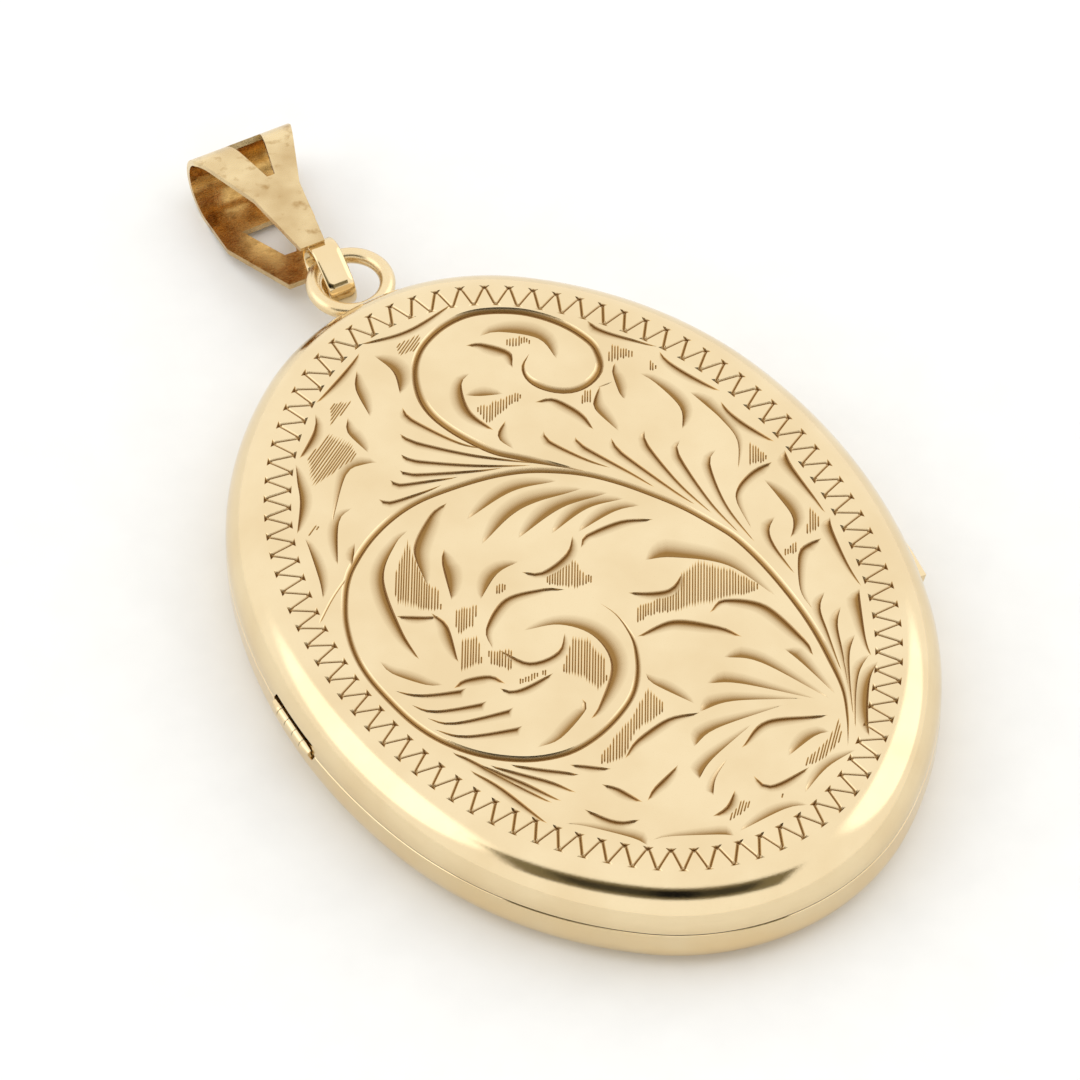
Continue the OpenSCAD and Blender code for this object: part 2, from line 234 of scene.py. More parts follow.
cut(-.5, "head", (10.4, -7.05), (10, -7.9), (9.2, -9.7), (8.9, -10.7))
cut(-.5, "leaf", (9, -11.1), (8.2, -11.8), (7.2, -13.3), (6.5, -14.6))
cut(-.35, "leaf", (5.6, -14.95), (4, -15.2), (2.4, -15.95))
cut(-.35, "leaf", (2.2, -16.6), (1.2, -16.3), (-1.2, -16.4))
cut(-.4, "head", (-1.5, -16.5), (-2.1, -16.1), (-4, -15.15), (-4.8, -14.95))
cut(-.4, "head", (-5.1, -15.1), (-5.5, -14.4), (-6.9, -12.9), (-7.7, -12.25))
# The upper left fan.
cut(-.34, "head", (-6, 8.1), (-5.6, 7.8), (-4.6, 7.6), (-3.1, 7.45))
cut(-.34, "head", (-5, 8.85), (-4.7, 8.5), (-3.6, 8.05), (-2.2, 7.5))
cut(-.34, "head", (-4.35, 9.15), (-3.9, 8.75), (-1.6, 7.6), (-.2, 7))
cut(-.34, "head", (-3.85, 9.95), (-3.4, 9.4), (-1.2, 7.8), (1, 6.5))
cut(-.34, "head", (-3.3, 11.05), (-2.9, 10.4), (-1, 8.4), (1.4, 6.4))
cut(-.34, "head", (-2.45, 12.4), (-2.35, 11.6), (-1.3, 9.5), (-.4, 8.4))
# The right fan.
cut(-.32, "head", (2.5, 8), (2.5, 7.4), (3.3, 5.8), (4.1, 4.6))
cut(-.34, "head", (3.6, 7), (3.7, 6.4), (4.8, 3.9), (5.3, 2.6))
cut(-.34, "head", (5, 6.15), (5.05, 5.2), (5.9, 2.3), (6.4, .8))
cut(-.34, "head", (6.55, 5.8), (6.3, 5), (6.4, 2.4), (6.8, 0))
cut(-.34, "head", (7.7, 4.5), (7.25, 3.8), (7.1, .8), (7.3, -1.6))
cut(-.34, "head", (8.85, 3.2), (8.2, 2.6), (7.65, .2), (7.65, -2.4))
# The leaves of the right side.
cut(.42, "head", (10.7, 1.3), (10, 1.4), (9.2, 1.15), (8.5, .7), (8.1, 0), (7.9, -1.7))
cut(.5, "leaf", (9.85, .6), (9.9, -.5), (9.9, -1.8), (9.6, -2.5), (9.15, -3))
cut(.42, "head", (9.5, 6.8), (9.7, 5.9), (9.95, 4.6), (9.95, 3.2), (9.15, 1.7))
cut(.45, "leaf", (8.05, 8.9), (8.4, 8), (8.65, 6.2), (8.1, 5))
cut(-.35, "head", (9.2, -1.55), (8.6, -2.1), (8.35, -3), (8.3, -4.9))
cut(.42, "head", (10.4, -3.7), (9.7, -3.6), (9, -4), (8.05, -5.8), (7.95, -7.1))
cut(-.32, "head", (8.95, -6.45), (8.3, -7.2), (7.9, -8.6), (7.3, -10.8))
cut(-.32, "head", (9.15, -7.55), (8.5, -8.4), (7.9, -9.9), (7, -12))
cut(-.32, "head", (8.9, -9.25), (8.2, -10), (7.5, -11.2), (6.5, -13.2))
cut(-.32, "head", (8.9, -10.55), (8.1, -11.1), (7.3, -12.1), (6.2, -13.9))
# The leaves of the top middle, inside and outside the scroll.
cut(.42, "leaf", (6.1, 9.1), (5.6, 8.7), (5.2, 8), (5.5, 6.3))
cut(.38, "leaf", (7.4, 10), (7, 9.6), (6.65, 8.3), (6.7, 7.85))
line(0.1, (5.9, 9.1), (6.7, 9.05))
cut(-.42, "leaf", (3, 9.7), (3.8, 9.6), (4.3, 8.9), (4.6, 8), (4.55, 6.95))
cut(.32, "leaf", (1.3, 9.4), (.7, 9), (.5, 8.5), (.8, 7.7))
cut(-.5, "leaf", (1.25, 12.7), (.6, 12.3), (.2, 10.8), (.55, 9.15))
cut(.42, "leaf", (.4, 11.65), (1, 11.25), (2, 10.85))
cut(-.5, "leaf", (1.9, 14.25), (2.6, 14.1), (3.5, 13), (3.1, 12))
cut(.6, "leaf", (2.7, 14.45), (3.6, 14.25), (5, 13), (5.15, 11.5))
# The upper left leaves.
cut(.6, "leaf", (-2.1, 15.8), (-1.8, 14.5), (-2.15, 13.15))
cut(.42, "leaf", (-3.2, 15.4), (-3.8, 14.4), (-4, 12.6))
cut(.42, "leaf", (-4.9, 13.1), (-5.35, 12.3), (-5.1, 10.75))
cut(-.42, "head", (-5, 10.05), (-5.6, 10.25), (-6.6, 10.1), (-8.5, 7.9))
cut(-.36, "leaf", (-7.3, 8.25), (-8.2, 7.8), (-9.45, 5.6))
cut(-.3, "leaf", (-8.15, 6.4), (-8.5, 5.8), (-8.9, 5.3))
cut(-.5, "leaf", (-5.7, 5.85), (-6.6, 5.4), (-8, 3.9), (-8.7, 1), (-8.85, -1))
cut(.6, "leaf", (-3.4, 6.4), (-4.4, 6.2), (-6, 4.8), (-6.5, 2.6))
cut(.6, "leaf", (-4.8, 4.1), (-5.3, 3.4), (-5.95, 1.3))
# The left side and the inner scroll.
cut(-.36, "leaf", (-8.55, 1.7), (-7.9, 1.4), (-6.9, .75))
cut(-.42, "leaf", (-7.1, 1.1), (-6.8, .1), (-7.4, -2))
cut(.38, "leaf", (-10.45, -.2), (-10.3, -1.1), (-9.3, -2.4), (-8.6, -2.8))
cut(-.38, "tail", (-10.65, -2.05), (-9.7, -2.8), (-7.8, -3.45))
cut(-.38, "tail", (-10.4, -3.1), (-9.6, -3.9), (-7.35, -4.55))
cut(-.38, "tail", (-10.15, -4.1), (-9.2, -4.9), (-6.5, -5.45))
cut(-.38, "tail", (-10.15, -4.85), (-9.1, -5.8), (-6.65, -6.55))
cut(-.4, "leaf", (-8.3, -3.2), (-7.6, -2.95), (-6.5, -3.3), (-6.15, -4.1))
cut(-.36, "leaf", (-6.5, -4.2), (-5.9, -4.6), (-4, -4.6))
cut(.4, "leaf", (-1.2, -.65), (-2, -.1), (-3.8, .25), (-5.4, -.9), (-5.7, -2.1))
cut(-.36, "leaf", (-5.45, -2.3), (-4.6, -3.5), (-3.2, -3.6), (-2.4, -2.8))
cut(.6, "leaf", (-4, -1.8), (-2.4, -2.3), (-1.4, -3.6), (-1.5, -5.4), (-3, -7.1), (-3.8, -7.7))
cut(.42, "leaf", (-6.7, -7.95), (-5.5, -8), (-3.7, -7.1), (-3.6, -6.5))
cut(.5, "leaf", (-4.8, .7), (-3.4, 1.65), (-2.2, 1.8))
cut(-.42, "leaf", (-2.4, 1.2), (-1.6, .8), (-.1, 1.2), (.65, 1.95))
cut(-.4, "leaf", (.6, 1.1), (1.2, 1.7), (3, 1.7), (4.3, 1))
# The soft flutes in the middle.
cut(.5, "leaf", (-3.1, 5.1), (-.5, 5.55), (1.6, 5.1))
cut(.6, "leaf", (-3.2, 3.5), (-.6, 4.45), (2.4, 4.15))
cut(.6, "leaf", (-1.6, 3), (1, 3.6), (3.3, 3.35))
cut(.5, "leaf", (-.15, 2.5), (2, 3), (3.75, 2.7))
cut(.45, "leaf", (.95, 2), (3, 2.25), (4.2, 2))
# The lower half.
cut(.8, "head", (2.8, -.9), (4, -1.4), (5.9, -3), (6.9, -5.6))
cut(-.42, "leaf", (1.2, -2.2), (2.9, -2.85), (3.9, -2.4))
cut(-.5, "leaf", (.3, -4.6), (2.2, -4.5), (3.8, -5.8), (4.4, -6.9))
cut(-.5, "leaf", (3.8, -5), (4.8, -4.6), (6.3, -5.8), (6.8, -8.4), (6.65, -9.4))
cut(.4, "leaf", (-.4, -6.6), (-.4, -7.3), (.65, -9.2))
cut(-.4, "leaf", (-3.6, -10.4), (-2.6, -9.7), (-.8, -9.3), (.6, -9.75))
cut(.5, "head", (.6, -9.7), (2.2, -9.9), (5, -11.3))
cut(.5, "head", (1.7, -8.45), (3, -9.2), (5.5, -11.6))
cut(.5, "head", (3.1, -7.5), (4.4, -8.6), (6.05, -11.9))
cut(.45, "head", (5.7, -8.4), (6, -9.6), (6.4, -11.8))
cut(.5, "head", (-.6, -11.3), (.8, -10.9), (4.1, -11.2))
cut(.5, "head", (-1.3, -13), (-.2, -12.3), (2.3, -11.45))
cut(.3, "head", (-1.2, -14.1), (-.6, -13.3), (.4, -12.6))
cut(-.4, "leaf", (1.2, -12.4), (3, -11.55), (5.5, -12.65))
cut(.45, "leaf", (2.8, -13.8), (4.4, -13.4), (5.1, -13.5))
cut(-.36, "leaf", (.9, -14), (1.3, -14.8), (3.3, -14.8))
cut(-.36, "leaf", (-1.8, -15.1), (-1, -14.9), (-.2, -14.3))
cut(-.36, "leaf", (-3.9, -12.95), (-3.2, -12.4), (-1.7, -11.85))
cut(-.36, "leaf", (-5.2, -11.15), (-4.6, -11.7), (-4.1, -12.9))
cut(-.36, "leaf", (-6.55, -12), (-5.6, -13.2), (-4.7, -13.7))
cut(-.3, "leaf", (-5.9, -9.5), (-5.2, -9.9), (-4.4, -10.6))
cut(-.3, "leaf", (-10.1, -6.35), (-9.4, -7.4), (-7.6, -11))
cut(-.3, "leaf", (-9.6, -7.2), (-8.2, -9.2), (-7.2, -11.1))
cut(-.3, "leaf", (-9, -7.8), (-7.2, -9.7), (-6.4, -11))
cut(-.3, "leaf", (-8.2, -8.2), (-6.5, -9.5), (-5.8, -10.2))
cut(-.3, "leaf", (-9.9, -7.6), (-9.1, -9.2), (-8.35, -11.9))

# Fine parallel lines shade the ground between the leaves.
hand = random.Random(7)
HATCH_PITCH = 0.125
HATCH_SPREAD = 0.15
HATCH_WIDTH = 0.085
HATCH_DEPTH = 0.06
HATCH_RAGGED = 0.15
HATCH_SHORTEST = 0.25
HATCH_TAPER = 0.12


def hatch(lean, *corners):
    """Parallel fine cuts across a patch. lean is their direction in degrees."""
    turn = Matrix.Rotation(math.radians(-lean), 2)
    back = Matrix.Rotation(math.radians(lean), 2)
    shape = [turn @ Vector(c) for c in corners]
    level = min(p.y for p in shape) + HATCH_PITCH / 2
    while level < max(p.y for p in shape):
        crossings = []
        for p, q in zip(shape, shape[1:] + shape[:1]):
            if (p.y > level) != (q.y > level):
                crossings.append(p.x + (level - p.y) / (q.y - p.y) * (q.x - p.x))
        crossings.sort()
        for x0, x1 in zip(crossings[::2], crossings[1::2]):
            x0 += hand.uniform(0, HATCH_RAGGED)
            x1 -= hand.uniform(0, HATCH_RAGGED)
            if x1 - x0 > HATCH_SHORTEST:
                start, end = [back @ Vector((x, level)) for x in (x0, x1)]
                path = [start.lerp(end, u) for u in (0, HATCH_TAPER, 1 - HATCH_TAPER, 1)]
                strip(path, "leaf", HATCH_WIDTH, EVEN, HATCH_DEPTH)
        level += HATCH_PITCH * hand.uniform(1 - HATCH_SPREAD, 1 + HATCH_SPREAD)


hatch(33, (-5.9, 13), (-5.2, 14.3), (-4.2, 13.9), (-5, 13.4))
hatch(33, (-8.4, 10.1), (-7.8, 11.8), (-6, 12.7), (-5.4, 11.8), (-5.6, 10.8))
hatch(33, (-9.9, 7.7), (-9.3, 8.3), (-8.8, 8))
hatch(33, (-1.2, 15.1), (-.9, 15.9), (.5, 16), (-.1, 15.1))
hatch(60, (-8.3, 2.2), (-7.6, 3.8), (-5.9, 5.5), (-6.4, 3), (-6.1, 2.2), (-6.6, 1), (-7, 1))
hatch(60, (-6.8, -.7), (-6, .9), (-5, .6), (-5.8, -.6))
hatch(60, (-7.7, -2.7), (-6.6, -.8), (-5.8, -.9), (-6.5, -2.6))
hatch(60, (-6.3, -2.9), (-5.9, -2), (-4.9, -2.4), (-5.6, -3.7))
hatch(60, (-5.8, -4.5), (-5.4, -4.1), (-4.1, -4.2), (-4.4, -4.6))
hatch(60, (-3.7, -4.8), (-3, -4), (-2.1, -3), (-1.6, -3.5), (-1.5, -4.8), (-2.1, -6.2), (-2.8, -6.6),
      (-3, -5.6))
hatch(60, (-1.9, .1), (-1.5, .5), (.2, .8), (0, 0), (.5, -.9), (-.8, -.9))
hatch(60, (-4.1, .5), (-3.7, 1.2), (-2.9, .7))
hatch(60, (.5, -4), (1.2, -3), (3, -3.1), (4, -2.2), (5, -2), (6, -3.2), (6.8, -5), (5.6, -4.9), (4, -4.6),
      (2.6, -4.3), (1.5, -3.9))
hatch(60, (9.6, 1.5), (10.5, 3), (10.8, 1.4))
hatch(60, (9.8, -3.3), (10.9, -1.7), (11, -2.7), (10.4, -3.3))
hatch(60, (8.4, -3.9), (8.6, -3.4), (9.4, -3.2), (9, -3.9))
hatch(60, (7, 10.1), (7.8, 11.2), (8.8, 9.8))
hatch(60, (8.3, 8.7), (8.9, 9.4), (9.1, 8.6))
hatch(60, (4.7, 8.5), (5.3, 9.3), (5.8, 9.1), (5.2, 8.4))
hatch(60, (.4, 9.5), (.4, 10.8), (2.5, 10.7), (3.2, 10.3), (1.5, 9.9))
hatch(60, (3.3, 13.8), (3.6, 13.1), (4.9, 12.8), (4.4, 13.6))
hatch(60, (-4.9, -10), (-3.2, -8.9), (-2, -8.3), (-.7, -7.3), (-.4, -8.5), (-1, -9.1), (-2.5, -9.4),
      (-3.6, -10.4), (-4.4, -10.4))
hatch(48, (-1.6, -15.7), (-.2, -14.9), (.3, -15.3), (-.8, -15.7))
hatch(48, (.2, -15.2), (2, -15.6), (2, -15.9), (.9, -15.6))
hatch(48, (3, -14.7), (3.4, -14.3), (5, -13.7), (6, -12.9), (5.4, -14.2), (4, -14.8))

# The zigzag border, its teeth evenly spaced along the oval.
TEETH = 88
ZIGZAG_OUTER = 1.8
ZIGZAG_INNER = 3.05
ZIGZAG_WIDTH = 0.15
ZIGZAG_DEPTH = 0.085
HEEL_LENGTH = 0.5
HEEL_POINT = 0.28
HEEL_BOTTOM = 0.07
walk = [Vector(oval_point(turn, (ZIGZAG_OUTER + ZIGZAG_INNER) / 2)) for turn in range(FULL_TURN + 1)]
lengths = np.concatenate([[0], np.cumsum([(q - p).length for p, q in zip(walk, walk[1:])])])


def tooth_tip(count, inset):
    """A tip of the zigzag, that many teeth round from the thumb side, and the inward direction there."""
    turn = np.interp(count / TEETH * lengths[-1], lengths, range(FULL_TURN + 1))
    tip = Vector(oval_point(turn, inset))
    return tip, Vector(oval_point(turn, inset + 1)) - tip


def heel(tip, way):
    """The triangular nick at a tip of the zigzag, pointing along way."""
    side = Vector((-way.y, way.x)) * HEEL_LENGTH / 2
    corners = [tip - side, tip + side, tip + way * HEEL_POINT]
    points = [(p.x, p.y, 0) for p in corners]
    deep = tip + way * HEEL_BOTTOM
    points.append((deep.x, deep.y, DEEPEST))
    add_cut(points, [(0, 1), (1, 2), (2, 0), (0, 3), (1, 3), (2, 3)], [(0, 1, 3), (1, 2, 3), (2, 0, 3)])


for tooth in range(TEETH):
    outer, inward = tooth_tip(tooth, ZIGZAG_OUTER)
    inner, _ = tooth_tip(tooth + 0.5, ZIGZAG_INNER)
    after, _ = tooth_tip(tooth + 1, ZIGZAG_OUTER)
    for start, end in ((outer, inner), (inner, after)):
        path = [start.lerp(end, u) for u in (0, 0.1, 0.5, 0.9, 1)]
        strip(path, "line", ZIGZAG_WIDTH, EVEN, ZIGZAG_DEPTH)
    heel(outer, inward)
    heel(inner, -tooth_tip(tooth + 0.5, ZIGZAG_INNER)[1])


def depths_at(points, facets):
    """The deepest cut at each point."""
    order = np.argsort(points[:, 0])
    xs = points[order, 0]
    depth = np.zeros(len(points))
    slack = 1e-6
    no_area = 1e-9
    for a, b, c in facets:
        area = (b[0] - a[0]) * (c[1] - a[1]) - (b[1] - a[1]) * (c[0] - a[0])
        if abs(area) < no_area:
            continue
        low = np.searchsorted(xs, min(a[0], b[0], c[0]) - slack)
        high = np.searchsorted(xs, max(a[0], b[0], c[0]) + slack)
        rows = order[low:high]
        px, py = points[rows, 0] - a[0], points[rows, 1] - a[1]
        u = (px * (c[1] - a[1]) - py * (c[0] - a[0])) / area
        v = ((b[0] - a[0]) * py - (b[1] - a[1]) * px) / area
        inside = (u > -TINY) & (v > -TINY) & (u + v < 1 + TINY)
        value = a[2] + u * (b[2] - a[2]) + v * (c[2] - a[2])
        hit = rows[inside]
        depth[hit] = np.maximum(depth[hit], value[inside])
    return depth


# ------------------------------------------------------------------ meshes
def new_piece(name, vertices, faces, material, body, slot, *nodes):
    """A mesh from points in millimetres, which rides on a body and stands for CAD nodes."""
    mesh = bpy.data.meshes.new(name)
    mesh.from_pydata([tuple(c * MM for c in v) for v in vertices], [], faces)
    mesh.update()
    mesh.materials.append(material)
    piece = bpy.data.objects.new(name, mesh)
    bpy.context.scene.collection.objects.link(piece)
    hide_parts(*nodes)
    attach(piece, body)
    return piece


def weld(piece, distance=1e-7):
    tool = bmesh.new()
    tool.from_mesh(piece.data)
    bmesh.ops.remove_doubles(tool, verts=tool.verts, dist=distance)
    tool.to_mesh(piece.data)
    tool.free()


def shade(piece, degrees):
    piece.data.shade_smooth()
    piece.data.set_sharp_from_angle(angle=math.radians(degrees))


# Inside FACE_START the cover's surface is the engraved one. The notch for the hinge is taller
# here than in the CAD model, to clear the knuckles when the cover is open.
FACE_START = 1.5
FACE_RINGS = 7
SHOULDER_RINGS = 16
INNER_RINGS = 8
NOTCH_HEIGHT = 0.52
NOTCH_HALF = 1.8
SHARP_EDGE = 28


def shell_section(height, shoulder, last_inset):
    """(inset, height) of a shell's section: inner flat, inner wall, rim, outer wall and shoulder."""
    inner = shoulder - SHEET
    section = []
    for i in range(INNER_RINGS + 1):
        turn = math.radians(90 * (1 - i / INNER_RINGS))
        section.append((shoulder - inner * math.cos(turn), height - shoulder + inner * math.sin(turn)))
    section += [(SHEET, HALF_GAP + RIM_BEVEL), (SHEET - RIM_BEVEL, HALF_GAP)]
    section += [(RIM_BEVEL, HALF_GAP), (0, HALF_GAP + RIM_BEVEL)]
    end = math.acos(1 - last_inset / shoulder)
    for i in range(SHOULDER_RINGS + 1):
        turn = end * i / SHOULDER_RINGS
        section.append((shoulder - shoulder * math.cos(turn), height - shoulder + shoulder * math.sin(turn)))
    return section


def shell_rings(section, way):
    """Rings of points for a section, upwards or downwards from the joint, with the hinge notch."""
    vertices = []
    for inset, height in section:
        for turn in range(TURNS):
            x, y = oval_point(FULL_TURN * turn / TURNS, inset)
            level = height
            if x < 0 and abs(y) < NOTCH_HALF:
                level = max(height, NOTCH_HEIGHT)
            vertices.append((x, y, JOINT_Z + way * level))
    faces = []
    for ring in range(len(section) - 1):
        for turn in range(TURNS):
            after = (turn + 1) % TURNS
            a, b = ring * TURNS + turn, ring * TURNS + after
            face = (a, b, b + TURNS, a + TURNS)
            faces.append(face if way > 0 else face[::-1])
    return vertices, faces


def cap(vertices, faces, first, level, upwards):
    """Closes a ring with a flat fan."""
    centre = len(vertices)
    vertices.append((0, 0, level))
    for turn in range(TURNS):
        a, b = first + turn, first + (turn + 1) % TURNS
        faces.append((centre, a, b) if upwards else (centre, b, a))


def engraved_face():
    """The face inside the shoulder's last ring, as (points with heights, triangles, depths)."""
    outline, edges = [], []
    for inset in np.linspace(FACE_START, COVER_SHOULDER, FACE_RINGS):
        start = len(outline)
        outline += [oval_point(FULL_TURN * turn / TURNS, inset) for turn in range(TURNS)]
        edges += [(start + turn, start + (turn + 1) % TURNS) for turn in range(TURNS)]
    shift = len(outline)
    flat = outline + [p[:2] for p in cuts["points"]]
    edges += [(a + shift, b + shift) for a, b in cuts["edges"]]
    merged = 1e-5
    found, _, triangles, _, _, _ = delaunay_2d_cdt([Vector(p) for p in flat], edges, [], 0, merged)
    points = np.array([tuple(p) for p in found])
    depth = depths_at(points, cuts["facets"])
    vertices = []
    for (x, y), deep in zip(points, depth):
        inset, _ = inset_and_way(x, y)
        vertices.append((x, y, JOINT_Z + COVER_HEIGHT - shoulder_drop(inset, COVER_SHOULDER) - deep))
    return vertices, [tuple(t) for t in triangles], depth


def face_normal(x, y):
    """The direction of the plain cover's surface, before engraving."""
    inset, way = inset_and_way(x, y)
    lean = min(1, max(0, 1 - inset / COVER_SHOULDER))
    return Vector((way[0] * lean, way[1] * lean, math.sqrt(1 - lean * lean)))


def make_cover(material):
    """The cover. What the cuts leave alone is shaded as the plain curved surface."""
    section = shell_section(COVER_HEIGHT, COVER_SHOULDER, FACE_START)
    vertices, faces = shell_rings(section, 1)
    cap(vertices, faces, 0, JOINT_Z + COVER_HEIGHT - SHEET, False)
    start = len(vertices)
    face_points, triangles, depth = engraved_face()
    vertices += face_points
    faces += [tuple(start + i for i in t) for t in triangles]
    piece = new_piece("engraved_cover", vertices, faces, material, "cover", "polished_gold", "front_shell")
    mesh = piece.data
    cut_depth = mesh.attributes.new("cut_depth", "FLOAT", "POINT")
    cut_depth.data.foreach_set("value", np.concatenate([np.zeros(start), depth / DEEPEST]))
    weld(piece)
    shade(piece, SHARP_EDGE)
    deep = np.zeros(len(mesh.vertices))
    mesh.attributes["cut_depth"].data.foreach_get("value", deep)
    plain = [face_normal(v.co.x / MM, v.co.y / MM) for v in mesh.vertices]
    normals = [Vector(n.vector) for n in mesh.corner_normals]
    close = math.cos(math.radians(14))
    upright = 0.02
    for polygon in mesh.polygons:
        if polygon.normal.z < upright:
            continue
        corners = [mesh.loops[i].vertex_index for i in polygon.loop_indices]
        untouched = all(deep[v] < TINY for v in corners)
        for loop, v in zip(polygon.loop_indices, corners):
            if untouched or (deep[v] < TINY and polygon.normal.dot(plain[v]) > close):
                normals[loop] = plain[v]
    mesh.normals_split_custom_set(normals)
    return piece


def make_back(material):
    section = shell_section(BACK_DEPTH, BACK_SHOULDER, BACK_SHOULDER)
    vertices, faces = shell_rings(section, -1)
    cap(vertices, faces, 0, JOINT_Z - BACK_DEPTH + SHEET, True)
    cap(vertices, faces, (len(section) - 1) * TURNS, 0, False)
    piece = new_piece("plain_back", vertices, faces, material, "case_back", "polished_gold", "back_shell")
    shade(piece, SHARP_EDGE)
    return piece


RING_Y = 22.05
RING_R = 1.73
WIRE_R = 0.375


def tube_faces(stations, around):
    """The quads of a closed tube with that many points around each station."""
    faces = []
    for i in range(stations):
        for j in range(around):
            a, b = i * around + j, ((i + 1) % stations) * around + j
            step = (j + 1) % around - j
            faces.append((a, b, b + step, a + step))
    return faces


def make_ring(material):
    stations, around = 144, 36
    vertices = []
    for i in range(stations):
        turn = 2 * math.pi * i / stations
        for j in range(around):
            lean = 2 * math.pi * j / around
            reach = RING_R + WIRE_R * math.cos(lean)
            y = max(RING_Y + reach * math.sin(turn), HALF_LENGTH + 2 * HALF_GAP)
            vertices.append((reach * math.cos(turn), y, JOINT_Z + WIRE_R * math.sin(lean)))
    faces = tube_faces(stations, around)
    piece = new_piece("ring_wire", vertices, faces, material, "case_back", "polished_gold", "jump_ring")
    shade(piece, degrees=60)
    return piece


# The bail, in its own frame: the swing axis is along X through the origin and
# the ribbon reaches out along +Y.
RING_SLIDE = 15
BAIL_YAW = -2
in_bail = (Matrix.Translation((0, RING_Y, JOINT_Z)) @ Matrix.Rotation(math.radians(RING_SLIDE), 4, "Z")
           @ Matrix.Translation((0, RING_R, 0))
           @ Matrix.Rotation(math.radians(BAIL_YAW - RING_SLIDE), 4, "Z"))
# The loop's band is thinner here than in the CAD model, trimmed at its edges, and the ribbon
# starts a little further out, so that they clear the ring as the bail swings up.
RIBBON = 0.28
LOOP_R = 1.1
LOOP_BAND = 0.19
LOOP_WIDTH = 1.36
LOOP_TRIM = 0.02
LOOP_STRETCH = 1.1
LOOP_TURN = 210
LAP_R = LOOP_R + RIBBON / 2
BEND_R = 1.75
BEND_REACH = 7
BEND_HALF = 2.55
BEND_CENTRE = Vector((BEND_REACH, BEND_R - BACK_DEPTH))
LAP_START = 0.34
NECK_SHIFT = -0.45
WAIST_REACH = 0.6 * BEND_REACH
SPREAD_REACH = BEND_REACH + BEND_R / 2
UPPER_HALVES = (0.62, 1.2)
LOWER_HALVES = (0.9, 2.295)
LOWER_SKEW = -0.35
OPENING_SHIFT = 0.2
OPENING_START = BEND_REACH - 1.8
OPENING_END = 0.4
OPENING_HALF = 0.2
OPENING_SPREAD = 1.2 / 5.3
LOWER_OPENING_START = 2.4
LOWER_OPENING_END = 5
LOWER_OPENING_HALF = 0.3
FAR_HOLE_X = -0.8
FAR_HOLE_HEIGHT = -1.3
FAR_HOLE_R = 0.65


def tangent_turn(side):
    """The direction in which a straight leaf faces, on that side of the bend."""
    lean = math.acos((LAP_R - BEND_R) / BEND_CENTRE.length)
    return math.atan2(BEND_CENTRE.y, BEND_CENTRE.x) + side * lean


def polar(turn, r):
    return Vector((math.cos(turn), math.sin(turn))) * r


UPPER_TURN = tangent_turn(1)
LOWER_TURN = tangent_turn(-1)
UPPER_START = polar(UPPER_TURN, LAP_R)
LOWER_START = polar(LOWER_TURN, LAP_R)
STRAIGHT = (BEND_CENTRE + polar(UPPER_TURN, BEND_R) - UPPER_START).length
BEND_LENGTH = (BEND_R - RIBBON / 2) * (UPPER_TURN - LOWER_TURN)
RIBBON_LENGTH = 2 * STRAIGHT + BEND_LENGTH


def ribbon_point(s, sunk):
    """The (reach, height) of a point of the ribbon, at s along it and sunk below its outer face."""
    if s < STRAIGHT:
        end = BEND_CENTRE + polar(UPPER_TURN, BEND_R)
        return UPPER_START.lerp(end, s / STRAIGHT) - polar(UPPER_TURN, sunk)
    if s < STRAIGHT + BEND_LENGTH:
        turn = UPPER_TURN - (s - STRAIGHT) / (BEND_R - RIBBON / 2)
        return BEND_CENTRE + polar(turn, BEND_R - sunk)
    start = BEND_CENTRE + polar(LOWER_TURN, BEND_R)
    return start.lerp(LOWER_START, (s - STRAIGHT - BEND_LENGTH) / STRAIGHT) - polar(LOWER_TURN, sunk)


def ribbon_edges(s):
    """The ribbon's left edge, opening and right edge at s: four x values."""
    reach, height = ribbon_point(s, RIBBON / 2)
    upper = s < STRAIGHT + BEND_LENGTH / 2
    start, waist = UPPER_HALVES if upper else LOWER_HALVES
    skew = 0 if upper else LOWER_SKEW
    half = np.interp(reach, [LAP_START, WAIST_REACH, SPREAD_REACH], [start, waist, BEND_HALF])
    lean = np.interp(reach, [WAIST_REACH, SPREAD_REACH], [skew, 0])
    centre, opening = NECK_SHIFT + OPENING_SHIFT, 0
    if upper and height > OPENING_END and reach > OPENING_START:
        opening = OPENING_HALF + OPENING_SPREAD * (reach - OPENING_START)
    elif reach > BEND_REACH and abs(height - FAR_HOLE_HEIGHT) < FAR_HOLE_R:
        centre = FAR_HOLE_X
        opening = math.sqrt(FAR_HOLE_R ** 2 - (height - FAR_HOLE_HEIGHT) ** 2)
    elif not upper and LOWER_OPENING_START < reach < LOWER_OPENING_END:
        centre = NECK_SHIFT - OPENING_SHIFT
        opened = (reach - LOWER_OPENING_START) / (LOWER_OPENING_END - LOWER_OPENING_START)
        opening = LOWER_OPENING_HALF + opened
    return NECK_SHIFT + lean - half, centre - opening, centre + opening, NECK_SHIFT + lean + half


STATION_STEP = 0.08
STATION_PAIR = 0.01


